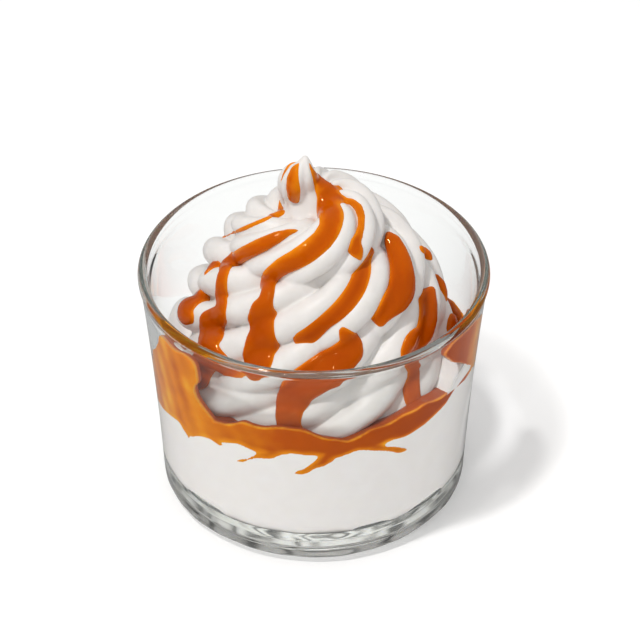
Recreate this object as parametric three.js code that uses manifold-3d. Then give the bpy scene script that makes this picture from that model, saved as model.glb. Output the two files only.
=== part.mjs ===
// A soft-serve sundae in a low, slightly flared glass tumbler: ice cream, a layer of caramel
// sauce, and a twisted swirl of soft serve with caramel running down it.
// Millimetres, +Z up. The glass stands on z = 0 and its axis is the Z axis.
import * as THREE from 'three';
import { mergeVertices } from 'three/addons/utils/BufferGeometryUtils.js';
import Module from 'manifold-3d';

const wasm = await Module();
wasm.setup();

// ---------------------------------------------------------------- driving dimensions

const gap = 0.3; // clearance between neighbouring solids
const weld = 0.004; // vertices nearer than this are one

const glass = {
  height: 61,
  lipRadius: 1.15, // half the thickness of the rounded lip
  rimRadius: 41.5, // outermost radius, at the lip
  neckRadius: 41.0, // outer wall just under the lip
  heelRadius: 36.9, // outer wall just above the heel
  heelCurve: 3.85,
  bow: 0.4, // how far the wall curves in at half height
  wall: 2.3,
  floor: 6.9, // top of the thick bottom
  floorCurve: 4.9,
  segments: 56,
  wallShares: [0.2, 0.4, 0.6, 0.8], // heights of the wall's rings, as shares of its height
  heelSteps: 4,
  lipSteps: 6,
  floorSteps: 3,
};

const caramel = {
  level: 38.5, // top of the pool at the wall, where it doesn't climb
  foot: 36.5, // top of the pool under the swirl
  underside: 33.5, // bottom edge at the wall, between the runs
  bed: 31, // bottom of the layer near the axis
  topRise: 0.8, // share of the radius from which the top turns towards its edge
  bedRise: 0.75,
  insideShares: [0.45, 0.74, 0.86, 0.94], // rings of the faces, as shares of the radius
  ripple: { reach: 0.7, lobes: 5, start: 40 }, // gentle wave of the bottom edge, start in degrees
  columns: 60,
};

const iceCream = { middle: 19 }; // height of the ring halfway up the base's side

// Where the sauce clings to the wall above the pool and runs down it below: degrees round from
// the front towards +X, extra height or depth, and width in degrees.
const climbs = [
  { angle: -80, reach: 12.5, spread: 34 },
  { angle: 97, reach: 9.5, spread: 20 },
];
const runs = [
  { angle: -62, reach: 2.4, spread: 9 },
  { angle: -28, reach: 3.2, spread: 8 },
  { angle: -12, reach: 5.5, spread: 9 },
  { angle: 20, reach: 1.5, spread: 10 },
  { angle: 78, reach: 2.8, spread: 10 },
  { angle: 128, reach: 3.6, spread: 12 },
  { angle: 176, reach: 2.2, spread: 10 },
  { angle: 222, reach: 3.8, spread: 13 },
];

// The swirl's rope, one row a station: turns round the axis from the front, distance from the
// axis, height, thickness from its middle, turns of twist, and the coil's sideways shift.
const coil = [
  { turn: -2.2, reach: 24.5, height: 36.0, thick: 11.0, twist: -4.1, shift: 0.0 },
  { turn: -1.0, reach: 19.3, height: 49.3, thick: 12.6, twist: -1.85, shift: 0.0 },
  { turn: 0.0, reach: 17.0, height: 60.5, thick: 11.0, twist: 0.13, shift: 2.0 },
  { turn: 0.35, reach: 13.7, height: 64.8, thick: 9.3, twist: 0.76, shift: 1.2 },
  { turn: 0.7, reach: 12.2, height: 68.8, thick: 7.8, twist: 1.34, shift: 0.2 },
  { turn: 1.0, reach: 12.0, height: 73.3, thick: 8.4, twist: 1.84, shift: -0.5 },
  { turn: 1.5, reach: 4.2, height: 79.8, thick: 5.7, twist: 2.68, shift: -1.0 },
  { turn: 1.8, reach: 1.8, height: 87.0, thick: 4.0, twist: 3.16, shift: -1.5 },
  { turn: 2.0, reach: 0.2, height: 92.6, thick: 0.5, twist: 3.46, shift: -2.0 },
];

const ridges = {
  count: 6, // points of the star nozzle
  depth: 0.26, // groove depth as a share of the rope's thickness
  stepsARidge: 3,
  ringsATurn: 24,
  ringsAPiece: 3, // rings in each short piece of rope
};

const core = { bottom: 33, top: 84, bottomRadius: 15, topRadius: 3, segments: 16 };

const swirlCut = { bottom: 12 }; // the block that cuts the swirl's foot reaches down to here

// The photo's view, in pixels, from which the streams are laid on the swirl.
const view = {
  elevation: THREE.MathUtils.degToRad(38.5),
  distance: 737,
  aimHeight: 27.7,
  focal: 3045,
  middle: [314, 376.5],
};

// Caramel streams: pixels of the middle line from top to bottom, with the stream's half width in
// millimetres at its start, middle and end.
const streams = [
  { pixels: [[293, 170], [292, 184], [293, 198]], halfWidths: [0.9, 2.0, 2.1] },
  { pixels: [[300, 159], [282, 177], [279, 206]], halfWidths: [0.7, 0.9, 0.8] },
  {
    pixels: [[313, 172], [320, 192], [327, 212], [318, 238], [294, 258], [272, 274]],
    halfWidths: [1.0, 2.7, 2.0],
  },
  { pixels: [[271, 276], [266, 300], [263, 325], [262, 358]], halfWidths: [1.6, 2.0, 3.2] },
  { pixels: [[297, 231], [262, 246], [231, 264], [220, 292]], halfWidths: [0.9, 1.6, 1.7] },
  { pixels: [[219, 294], [216, 312], [208, 325]], halfWidths: [1.6, 2.2, 3.2] },
  { pixels: [[352, 203], [360, 220], [356, 238]], halfWidths: [0.7, 1.2, 0.9] },
  {
    pixels: [[363, 258], [360, 280], [345, 300], [322, 318], [308, 336]],
    halfWidths: [2.2, 2.8, 2.6],
  },
  { pixels: [[392, 238], [402, 262], [408, 290], [395, 312]], halfWidths: [1.8, 3.4, 3.0] },
  { pixels: [[348, 338], [340, 356], [316, 364]], halfWidths: [2.2, 3.2, 2.6] },
  { pixels: [[428, 304], [424, 326], [408, 350]], halfWidths: [2.0, 2.9, 2.2] },
];
const streamSides = 8;
const streamStepsASpan = 3;
const streamSunk = 0.5; // share of the half width that lies below the swirl's skin
const streamTip = { share: 0.45, growth: 2.2 }; // width left at a stream's end, and how fast it grows

// ---------------------------------------------------------------- small helpers

const turnToAngle = (turn) => 2 * Math.PI * turn;

function wallRadius(height) {
  const low = glass.heelCurve;
  const high = glass.height - 2 * glass.lipRadius;
  const share = THREE.MathUtils.clamp((height - low) / (high - low), 0, 1);
  const straight = THREE.MathUtils.lerp(glass.heelRadius, glass.neckRadius, share);
  return straight - glass.bow * 4 * share * (1 - share);
}

const fillRadius = (height) => wallRadius(height) - glass.wall - gap;

// Points of an arc in the (radius, height) plane, angles in degrees.
function arcPoints(radius, height, curve, from, to, steps) {
  return Array.from({ length: steps + 1 }, (_, i) => {
    const angle = THREE.MathUtils.degToRad(THREE.MathUtils.lerp(from, to, i / steps));
    return [radius + curve * Math.cos(angle), height + curve * Math.sin(angle)];
  });
}

// How far a list of humps round the wall reaches at one azimuth, in degrees.
function humpReach(humps, degrees) {
  return humps.reduce((sum, { angle, reach, spread }) => {
    const away = THREE.MathUtils.euclideanModulo(degrees - angle + 180, 360) - 180;
    return sum + reach * Math.exp(-((away / spread) ** 2));
  }, 0);
}

// One smooth value along the coil, without overshoot between stations.
function alongCoil(turn, name) {
  const last = coil.length - 2;
  const found = coil.findIndex((station, i) => i > 0 && turn <= station.turn) - 1;
  const i = found < 0 ? last : found;
  const span = (k) => coil[k + 1].turn - coil[k].turn;
  const slope = (k) => (coil[k + 1][name] - coil[k][name]) / span(k);
  const tangent = (k) => {
    if (k === 0) {
      return slope(0);
    }
    if (k > last) {
      return slope(last);
    }
    const before = slope(k - 1);
    const after = slope(k);
    return before * after <= 0 ? 0 : (2 * before * after) / (before + after);
  };
  const t = (turn - coil[i].turn) / span(i);
  const start = coil[i][name] * (1 + 2 * t) * (1 - t) ** 2 + tangent(i) * span(i) * t * (1 - t) ** 2;
  const end = coil[i + 1][name] * t * t * (3 - 2 * t) + tangent(i + 1) * span(i) * t * t * (t - 1);
  return start + end;
}

// Joins vertices that lie together and drops the triangles that this leaves with no area.
function welded(geometry) {
  geometry.deleteAttribute('normal');
  geometry.deleteAttribute('uv');
  const merged = mergeVertices(geometry, weld);
  const index = merged.index.array;
  const faces = [];
  for (let i = 0; i < index.length; i += 3) {
    const [a, b, c] = [index[i], index[i + 1], index[i + 2]];
    if (a !== b && b !== c && c !== a) {
      faces.push(a, b, c);
    }
  }
  merged.setIndex(faces);
  return merged;
}

function asSolid(geometry) {
  const merged = welded(geometry);
  return new wasm.Manifold(
    new wasm.Mesh({
      numProp: 3,
      vertProperties: new Float32Array(merged.attributes.position.array),
      triVerts: new Uint32Array(merged.index.array),
    }),
  );
}

function asGeometry(solid) {
  const mesh = solid.getMesh();
  const geometry = new THREE.BufferGeometry();
  geometry.setAttribute('position', new THREE.BufferAttribute(mesh.vertProperties, 3));
  geometry.setIndex(new THREE.BufferAttribute(mesh.triVerts, 1));
  return welded(geometry);
}

// Two triangles for the quad of a, b and, beyond them, c, d, split along its shorter diagonal.
function quadFaces(points, a, b, c, d) {
  const shortCut = points[b].distanceTo(points[c]) < points[a].distanceTo(points[d]);
  return shortCut ? [a, b, c, b, d, c] : [a, b, d, a, d, c];
}

// Closed skin over a list of rings of equal length, each end closed by a fan to its middle.
function sleeve(rings) {
  const sides = rings[0].length;
  const middle = (ring) =>
    ring.reduce((sum, point) => sum.add(point), new THREE.Vector3()).divideScalar(sides);
  const points = [...rings.flat(), middle(rings[0]), middle(rings.at(-1))];
  const startCap = rings.length * sides;
  const endCap = startCap + 1;
  const lastRing = (rings.length - 1) * sides;
  const faces = [];
  for (let i = 0; i < sides; i += 1) {
    const next = (i + 1) % sides;
    for (let row = 0; row < lastRing; row += sides) {
      faces.push(...quadFaces(points, row + i, row + next, row + sides + i, row + sides + next));
    }
    faces.push(startCap, next, i);
    faces.push(endCap, lastRing + i, lastRing + next);
  }
  const geometry = new THREE.BufferGeometry().setFromPoints(points);
  geometry.setIndex(faces);
  return geometry;
}

// Closed skin whose meridian changes with the azimuth: meridian(degrees) lists [radius, height]
// from the axis below to the axis above.
function turnedSkin(meridian, columns) {
  const geometry = new THREE.BufferGeometry();
  const lines = Array.from({ length: columns }, (_, i) => {
    const degrees = (360 * i) / columns;
    const angle = THREE.MathUtils.degToRad(degrees);
    return meridian(degrees).map(
      ([radius, height]) => new THREE.Vector3(radius * Math.sin(angle), -radius * Math.cos(angle), height),
    );
  });
  const points = lines.flat();
  const rows = lines[0].length;
  const faces = [];
  for (let i = 0; i < columns; i += 1) {
    for (let row = 0; row < rows - 1; row += 1) {
      const a = i * rows + row;
      const b = ((i + 1) % columns) * rows + row;
      if (row === 0) {
        faces.push(b, b + 1, a + 1);
      } else if (row === rows - 2) {
        faces.push(a, b, a + 1);
      } else {
        faces.push(...quadFaces(points, a, b, a + 1, b + 1));
      }
    }
  }
  geometry.setFromPoints(points);
  geometry.setIndex(faces);
  return mergeVertices(geometry, weld);
}

// ---------------------------------------------------------------- glass

function glassGeometry() {
  const { height, lipRadius, rimRadius, heelRadius, heelCurve, wall, floor, floorCurve } = glass;
  const lipHeight = height - lipRadius;
  const neckHeight = height - 2 * lipRadius;
  const wallHeights = glass.wallShares.map((share) => heelCurve + share * (neckHeight - heelCurve));
  const outerWall = wallHeights.map((z) => [wallRadius(z), z]);
  const innerWall = wallHeights.toReversed().map((z) => [wallRadius(z) - wall, z]);
  const floorEdge = floor + floorCurve;
  const innerCorner = wallRadius(floorEdge) - wall - floorCurve;
  const profile = [
    [0, 0],
    ...arcPoints(heelRadius - heelCurve, heelCurve, heelCurve, -90, 0, glass.heelSteps),
    ...outerWall,
    [wallRadius(neckHeight), neckHeight],
    ...arcPoints(rimRadius - lipRadius, lipHeight, lipRadius, 0, 180, glass.lipSteps),
    [wallRadius(neckHeight) - wall, neckHeight],
    ...innerWall,
    ...arcPoints(innerCorner, floorEdge, floorCurve, 0, -90, glass.floorSteps),
    [0, floor],
  ];
  const points = profile.map(([radius, z]) => new THREE.Vector2(radius, z));
  return new THREE.LatheGeometry(points, glass.segments).rotateX(Math.PI / 2);
}

// ---------------------------------------------------------------- ice cream and caramel in the glass

function poolTop(degrees, share) {
  const edge = caramel.level + humpReach(climbs, degrees);
  return THREE.MathUtils.lerp(caramel.foot, edge, THREE.MathUtils.smoothstep(share, caramel.topRise, 1));
}

function poolBottom(degrees, share) {
  const { reach, lobes, start } = caramel.ripple;
  const wave = reach * Math.sin(THREE.MathUtils.degToRad(lobes * degrees + start));
  const edge = caramel.underside + wave - humpReach(runs, degrees);
  return THREE.MathUtils.lerp(caramel.bed, edge, THREE.MathUtils.smoothstep(share, caramel.bedRise, 1));
}

// Points of one layer's upper or lower face, from the axis out to the wall.
function facePoints(face, degrees, lift) {
  const edge = face(degrees, 1);
  const reach = fillRadius(edge);
  const inside = caramel.insideShares.map((share) => [reach * share, face(degrees, share) + lift]);
  return [[0, face(0, 0) + lift], ...inside, [fillRadius(edge + lift), edge + lift]];
}

function iceCreamBaseGeometry() {
  const bottom = glass.floor + gap;
  const cornerHeight = glass.floor + glass.floorCurve;
  const cornerRadius = fillRadius(cornerHeight) - glass.floorCurve + gap;
  const corner = arcPoints(cornerRadius, cornerHeight, glass.floorCurve - gap, -90, 0, glass.floorSteps);
  return turnedSkin((degrees) => {
    const top = facePoints(poolBottom, degrees, -gap);
    const side = [[fillRadius(iceCream.middle), iceCream.middle]];
    return [[0, bottom], ...corner, ...side, ...top.reverse()];
  }, caramel.columns);
}

function caramelLayerGeometry() {
  return turnedSkin((degrees) => {
    const lower = facePoints(poolBottom, degrees, 0);
    const upper = facePoints(poolTop, degrees, 0).reverse();
    const middle = (poolBottom(degrees, 1) + poolTop(degrees, 1)) / 2;
    return [...lower, [fillRadius(middle), middle], ...upper];
  }, caramel.columns);
}

// Everything below the swirl's foot, a little above the pool, to cut the swirl with.
function underSwirlGeometry() {
  return turnedSkin((degrees) => {
    const top = facePoints(poolTop, degrees, gap).reverse();
    const outside = [top[0][0] + glass.wall, top[0][1]];
    return [[0, swirlCut.bottom], [outside[0], swirlCut.bottom], outside, ...top];
  }, caramel.columns);
}

// ---------------------------------------------------------------- swirl

function coilMiddle(turn) {
  const angle = turnToAngle(turn);
  const reach = alongCoil(turn, 'reach');
  const x = alongCoil(turn, 'shift') + reach * Math.sin(angle);
  return new THREE.Vector3(x, -reach * Math.cos(angle), alongCoil(turn, 'height'));
}

// One cross-section of the rope: a star with round points, turned by the twist.
function ropeRing(turn) {
  const angle = turnToAngle(turn);
  const small = 0.001;
  const last = coil.at(-1).turn;
  const ahead = coilMiddle(Math.min(turn + small, last));
  const along = ahead.sub(coilMiddle(turn - small)).normalize();
  const radial = new THREE.Vector3(Math.sin(angle), -Math.cos(angle), 0);
  const out = radial.addScaledVector(along, -radial.dot(along)).normalize();
  const down = new THREE.Vector3().crossVectors(along, out);
  const thick = alongCoil(turn, 'thick');
  const steps = ridges.count * ridges.stepsARidge;
  return Array.from({ length: steps }, (_, i) => {
    const round = (2 * Math.PI * i) / steps - turnToAngle(alongCoil(turn, 'twist'));
    const star = 1 - ridges.depth * (1 - Math.abs(Math.cos((Math.PI * i) / ridges.stepsARidge)));
    return coilMiddle(turn)
      .addScaledVector(out, thick * star * Math.cos(round))
      .addScaledVector(down, thick * star * Math.sin(round));
  });
}

function ropeSolid() {
  const first = coil[0].turn;
  const last = coil.at(-1).turn;
  const pieces = Math.round(((last - first) * ridges.ringsATurn) / ridges.ringsAPiece);
  const steps = pieces * ridges.ringsAPiece;
  const turnAt = (i) => first + ((last - first) * i) / steps;
  const rings = Array.from({ length: steps + 1 }, (_, i) => ropeRing(turnAt(i)));
  return Array.from({ length: pieces }, (_, i) => {
    const start = i * ridges.ringsAPiece;
    return asSolid(sleeve(rings.slice(start, start + ridges.ringsAPiece + 1)));
  }).reduce((whole, piece) => whole.add(piece));
}

// Fills the space inside the coil.
function coreSolid() {
  const points = [
    [0, core.bottom],
    [core.bottomRadius, core.bottom],
    [core.topRadius, core.top],
    [0, core.top],
  ].map(([radius, z]) => new THREE.Vector2(radius, z));
  return asSolid(new THREE.LatheGeometry(points, core.segments).rotateX(Math.PI / 2));
}

function pixelRay([x, y]) {
  const { elevation, distance, aimHeight, focal, middle } = view;
  const back = new THREE.Vector3(0, -Math.cos(elevation), Math.sin(elevation));
  const up = new THREE.Vector3(0, Math.sin(elevation), Math.cos(elevation));
  const eye = new THREE.Vector3(0, 0, aimHeight).addScaledVector(back, distance);
  const direction = back
    .multiplyScalar(-focal)
    .addScaledVector(up, middle[1] - y)
    .add(new THREE.Vector3(x - middle[0], 0, 0));
  return new THREE.Raycaster(eye, direction.normalize());
}

// A stream: a tapering tube whose middle line lies half sunk in the swirl's skin.
function streamSolid({ pixels, halfWidths }, skin) {
  const hits = pixels.flatMap((pixel) => pixelRay(pixel).intersectObject(skin).slice(0, 1));
  const curve = new THREE.CatmullRomCurve3(hits.map((hit) => hit.point));
  const steps = (pixels.length - 1) * streamStepsASpan;
  const frames = curve.computeFrenetFrames(steps);
  const [start, middle, end] = halfWidths;
  const rings = Array.from({ length: steps + 1 }, (_, i) => {
    const share = i / steps;
    const near = share < 0.5 ? [start, middle, share * 2] : [middle, end, share * 2 - 1];
    const tip = Math.min(1, streamTip.share + streamTip.growth * (1 - share));
    const half = THREE.MathUtils.lerp(...near) * tip;
    const inwards = new THREE.Vector3(0, Math.cos(view.elevation), -Math.sin(view.elevation));
    const centre = curve.getPointAt(share).addScaledVector(inwards, half * streamSunk);
    return Array.from({ length: streamSides }, (_, k) => {
      const round = (2 * Math.PI * k) / streamSides;
      return centre
        .clone()
        .addScaledVector(frames.normals[i], half * Math.cos(round))
        .addScaledVector(frames.binormals[i], half * Math.sin(round));
    });
  });
  return asSolid(sleeve(rings));
}

function swirlGeometry() {
  const bare = ropeSolid().add(coreSolid());
  const skin = new THREE.Mesh(asGeometry(bare), new THREE.MeshBasicMaterial({ side: THREE.DoubleSide }));
  const dressed = streams.reduce((whole, stream) => whole.add(streamSolid(stream, skin)), bare);
  const cut = dressed.subtract(asSolid(underSwirlGeometry()));
  const largest = cut.decompose().sort((a, b) => b.volume() - a.volume())[0];
  return asGeometry(largest);
}

// ---------------------------------------------------------------- the sundae

const glassMaterial = new THREE.MeshStandardMaterial({
  color: '#eef3f2',
  roughness: 0.03,
  metalness: 0,
  transparent: true,
  opacity: 0.35,
});
const iceCreamMaterial = new THREE.MeshStandardMaterial({ color: '#f3f0ea', roughness: 0.45, metalness: 0 });
const caramelMaterial = new THREE.MeshStandardMaterial({ color: '#c2660a', roughness: 0.12, metalness: 0 });

function namedMesh(name, geometry, material) {
  const mesh = new THREE.Mesh(geometry, material);
  mesh.name = name;
  return mesh;
}

const sundae = new THREE.Group();
sundae.add(
  namedMesh('glass', glassGeometry(), glassMaterial),
  namedMesh('ice_cream_base', iceCreamBaseGeometry(), iceCreamMaterial),
  namedMesh('caramel_layer', caramelLayerGeometry(), caramelMaterial),
  namedMesh('swirl', swirlGeometry(), iceCreamMaterial),
);

export default sundae;
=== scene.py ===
"""A soft-serve sundae with caramel in a low glass tumbler.

Lengths in this script are millimetres until a mesh is made, and metres in Blender. +Z is up,
the glass's axis is the Z axis, and azimuths are degrees round from the front (-Y) towards +X.
"""

import math

import bpy
import numpy as np
import openvdb
from mathutils import Matrix, Vector
from mathutils.bvhtree import BVHTree


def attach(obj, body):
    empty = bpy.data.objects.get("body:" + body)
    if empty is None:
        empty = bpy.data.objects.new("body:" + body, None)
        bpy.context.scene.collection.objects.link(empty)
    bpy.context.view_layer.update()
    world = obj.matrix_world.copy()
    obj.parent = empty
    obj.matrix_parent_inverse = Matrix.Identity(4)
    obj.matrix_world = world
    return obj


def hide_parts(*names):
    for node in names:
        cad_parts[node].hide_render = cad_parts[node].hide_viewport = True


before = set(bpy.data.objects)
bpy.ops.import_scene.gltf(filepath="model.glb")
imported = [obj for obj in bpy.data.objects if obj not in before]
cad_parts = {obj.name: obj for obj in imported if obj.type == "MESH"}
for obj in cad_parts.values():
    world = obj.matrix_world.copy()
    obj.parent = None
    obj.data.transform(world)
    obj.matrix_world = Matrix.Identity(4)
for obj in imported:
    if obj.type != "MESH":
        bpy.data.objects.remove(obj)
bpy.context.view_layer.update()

MM = 0.001

# ---------------------------------------------------------------- sizes shared with the solids

GLASS_HEIGHT = 61.0
LIP_RADIUS = 1.15
RIM_RADIUS = 41.5
NECK_RADIUS = 41.0
HEEL_RADIUS = 36.9
HEEL_CURVE = 3.85
WALL_BOW = 0.4
WALL = 2.3
FLOOR = 6.9
FLOOR_CURVE = 4.9
GLASS_IOR = 1.5

# One row a station along the rope: turn, distance from the axis, height, thickness from its
# middle, turns of twist, sideways shift.
COIL = np.array(
    [
        (-2.2, 24.5, 36.0, 11.0, -4.1, 0.0),
        (-1.0, 19.3, 49.3, 12.6, -1.85, 0.0),
        (0.0, 17.0, 60.5, 11.0, 0.13, 2.0),
        (0.35, 13.7, 64.8, 9.3, 0.76, 1.2),
        (0.7, 12.2, 68.8, 7.8, 1.34, 0.2),
        (1.0, 12.0, 73.3, 8.4, 1.84, -0.5),
        (1.5, 4.2, 79.8, 5.7, 2.68, -1.0),
        (1.8, 1.8, 87.0, 4.0, 3.16, -1.5),
        (2.0, 0.2, 92.6, 0.5, 3.46, -2.0),
    ]
)
REACH, HEIGHT, THICK, TWIST, SHIFT = range(1, 6)
RIDGES = 6
GROOVE_DEPTH = 0.31

# The photo's view: the eye looks at the aim point, which the photo shows at AIM_PX.
VIEW_ELEVATION = math.radians(38.476)
VIEW_DISTANCE = 737.3
AIM_HEIGHT = 27.67
FOCAL_PX = 3045.2
AIM_PX = (313.85, 376.5)
PHOTO_SIDE = 640


# ---------------------------------------------------------------- small helpers


def along_coil(turn, column):
    """A smooth value along the coil, without overshoot between stations."""
    at, value = COIL[:, 0], COIL[:, column]
    span = np.diff(at)
    slope = np.diff(value) / span
    tangent = np.zeros(len(at))
    tangent[0], tangent[-1] = slope[0], slope[-1]
    same_way = slope[:-1] * slope[1:] > 0
    both = np.where(same_way, slope[:-1] + slope[1:], 1.0)
    tangent[1:-1] = np.where(same_way, 2 * slope[:-1] * slope[1:] / both, 0.0)
    i = np.clip(np.searchsorted(at, turn) - 1, 0, len(span) - 1)
    t = (turn - at[i]) / span[i]
    start = value[i] * (1 + 2 * t) * (1 - t) ** 2 + tangent[i] * span[i] * t * (1 - t) ** 2
    end = value[i + 1] * t * t * (3 - 2 * t) + tangent[i + 1] * span[i] * t * t * (t - 1)
    return start + end


def smoothstep(low, high, value):
    t = np.clip((value - low) / (high - low), 0, 1)
    return t * t * (3 - 2 * t)


def wall_radius(height):
    """Radius of the glass's outer wall above the heel."""
    low, high = HEEL_CURVE, GLASS_HEIGHT - 2 * LIP_RADIUS
    share = np.clip((height - low) / (high - low), 0, 1)
    return HEEL_RADIUS + (NECK_RADIUS - HEEL_RADIUS) * share - WALL_BOW * 4 * share * (1 - share)


def arc(radius, height, curve, start, stop, steps):
    """Points (radius, height) of an arc, angles in degrees."""
    angles = np.radians(np.linspace(start, stop, steps + 1))
    return [(radius + curve * math.cos(a), height + curve * math.sin(a)) for a in angles]


def mesh_object(name, points, faces, material):
    """A smooth-shaded object from points in millimetres."""
    mesh = bpy.data.meshes.new(name)
    mesh.from_pydata((np.asarray(points) * MM).tolist(), [], [list(map(int, face)) for face in faces])
    mesh.materials.append(material)
    mesh.shade_smooth()
    mesh.validate()
    made = bpy.data.objects.new(name, mesh)
    bpy.context.scene.collection.objects.link(made)
    return made


def turned(name, meridian, columns, material):
    """A closed turned body: meridian(azimuth in degrees) lists (radius, height), axis to axis."""
    azimuths = np.linspace(0, 360, columns, endpoint=False)
    lines = np.array([meridian(azimuth) for azimuth in azimuths])
    rows = lines.shape[1] - 2
    angle = np.radians(azimuths)[:, None]
    radius, height = lines[:, 1:-1, 0], lines[:, 1:-1, 1]
    side = np.stack([radius * np.sin(angle), -radius * np.cos(angle), height], -1).reshape(-1, 3)
    foot = (0, 0, lines[0, 0, 1])
    crown = (0, 0, lines[0, -1, 1])
    faces = []
    for i in range(columns):
        here, there = i * rows, (i + 1) % columns * rows
        faces += [(here + k, there + k, there + k + 1, here + k + 1) for k in range(rows - 1)]
        faces.append((len(side), there, here))
        faces.append((len(side) + 1, here + rows - 1, there + rows - 1))
    return mesh_object(name, np.vstack([side, [foot, crown]]), faces, material)


# ---------------------------------------------------------------- sight lines of the photo


def sight(pixel, turned_by=0.0):
    """Eye and direction of the sight line through a pixel, in millimetres, turned about the axis."""
    back = Vector((0, -math.cos(VIEW_ELEVATION), math.sin(VIEW_ELEVATION)))
    up = Vector((0, math.sin(VIEW_ELEVATION), math.cos(VIEW_ELEVATION)))
    eye = Vector((0, 0, AIM_HEIGHT)) + back * VIEW_DISTANCE
    along = back * -FOCAL_PX + up * (AIM_PX[1] - pixel[1]) + Vector((pixel[0] - AIM_PX[0], 0, 0))
    turn = Matrix.Rotation(math.radians(turned_by), 3, "Z")
    return turn @ eye, (turn @ along).normalized()


def cylinder_hit(start, along, radius, nearest):
    """Where a line meets an upright cylinder about the axis."""
    a = along.x**2 + along.y**2
    b = start.x * along.x + start.y * along.y
    c = start.x**2 + start.y**2 - radius**2
    root = math.sqrt(max(b * b - a * c, 0))
    return start + along * ((-b - root if nearest else -b + root) / a)


def wall_spot(pixel):
    """Azimuth and height of the food that a pixel shows through the front of the glass wall."""
    eye, along = sight(pixel)
    height = AIM_HEIGHT
    for _ in range(4):
        outside = cylinder_hit(eye, along, float(wall_radius(height)), True)
        height = outside.z
    normal = Vector((outside.x, outside.y, 0)).normalized()
    facing = -normal.dot(along)
    bent = along / GLASS_IOR
    bent += normal * (facing / GLASS_IOR - math.sqrt(1 - (1 - facing**2) / GLASS_IOR**2))
    inside = cylinder_hit(outside, bent, float(wall_radius(height)) - WALL, True)
    return math.degrees(math.atan2(inside.x, -inside.y)), inside.z


# ---------------------------------------------------------------- node helpers


class Sheet:
    """Shorthand for building a node tree."""

    def __init__(self, tree):
        self.tree = tree

    def node(self, kind, inputs=None, **settings):
        made = self.tree.nodes.new(kind)
        for name, value in settings.items():
            setattr(made, name, value)
        self.fill(made, inputs or {})
        return made

    def fill(self, made, inputs):
        for name, value in inputs.items():
            self.put(made.inputs[name], value)

    def put(self, socket, value):
        if isinstance(value, bpy.types.NodeSocket):
            self.tree.links.new(value, socket)
        else:
            socket.default_value = value

    def math(self, operation, *values):
        made = self.node("ShaderNodeMath", operation=operation)
        for i, value in enumerate(values):
            self.put(made.inputs[i], value)
        return made.outputs[0]

    def vector(self, operation, first, second):
        made = self.node("ShaderNodeVectorMath", operation=operation)
        self.put(made.inputs[0], first)
        self.put(made.inputs[3 if operation == "SCALE" else 1], second)
        return made.outputs[0]

    def whole(self, operation, first, second):
        made = self.node("FunctionNodeIntegerMath", operation=operation)
        self.put(made.inputs[0], first)
        self.put(made.inputs[1], second)
        return made.outputs[0]

    def ramp(self, factor, stops):
        made = self.node("ShaderNodeValToRGB", {"Fac": factor})
        elements = made.color_ramp.elements
        while len(elements) < len(stops):
            elements.new(0.5)
        for element, (place, colour) in zip(elements, stops):
            element.position = place
            element.color = (*colour, 1)
        return made.outputs["Color"]


def new_material(name):
    """A material, its sheet and its Principled BSDF."""
    material = bpy.data.materials.new(name)
    material.use_nodes = True
    return material, Sheet(material.node_tree), material.node_tree.nodes["Principled BSDF"]


def fine_unevenness():
    """Shader group: soft mottling of a food's surface, as a mask and as a normal."""
    tree = bpy.data.node_groups.new("fine_unevenness", "ShaderNodeTree")
    for name in ("Scale", "Depth"):
        tree.interface.new_socket(name, in_out="INPUT", socket_type="NodeSocketFloat")
    tree.interface.new_socket("Mask", in_out="OUTPUT", socket_type="NodeSocketFloat")
    tree.interface.new_socket("Normal", in_out="OUTPUT", socket_type="NodeSocketVector")
    sheet = Sheet(tree)
    given = sheet.node("NodeGroupInput")
    place = sheet.node("ShaderNodeTexCoord").outputs["Object"]
    noise_inputs = {"Vector": place, "Scale": given.outputs["Scale"], "Detail": 4.0, "Roughness": 0.55}
    noise = sheet.node("ShaderNodeTexNoise", noise_inputs).outputs["Fac"]
    bump_inputs = {"Strength": given.outputs["Depth"], "Distance": 0.0004, "Height": noise}
    bump = sheet.node("ShaderNodeBump", bump_inputs)
    result = sheet.node("NodeGroupOutput")
    sheet.put(result.inputs["Mask"], noise)
    sheet.put(result.inputs["Normal"], bump.outputs["Normal"])
    return tree


UNEVENNESS = fine_unevenness()


def place_unevenness(sheet, scale, depth):
    return sheet.node("ShaderNodeGroup", {"Scale": scale, "Depth": depth}, node_tree=UNEVENNESS)


# ---------------------------------------------------------------- materials


GLASS_BODY = (0.80, 0.82, 0.81, 1)
GLASS_DENSITY = 62.0  # a metre


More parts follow.
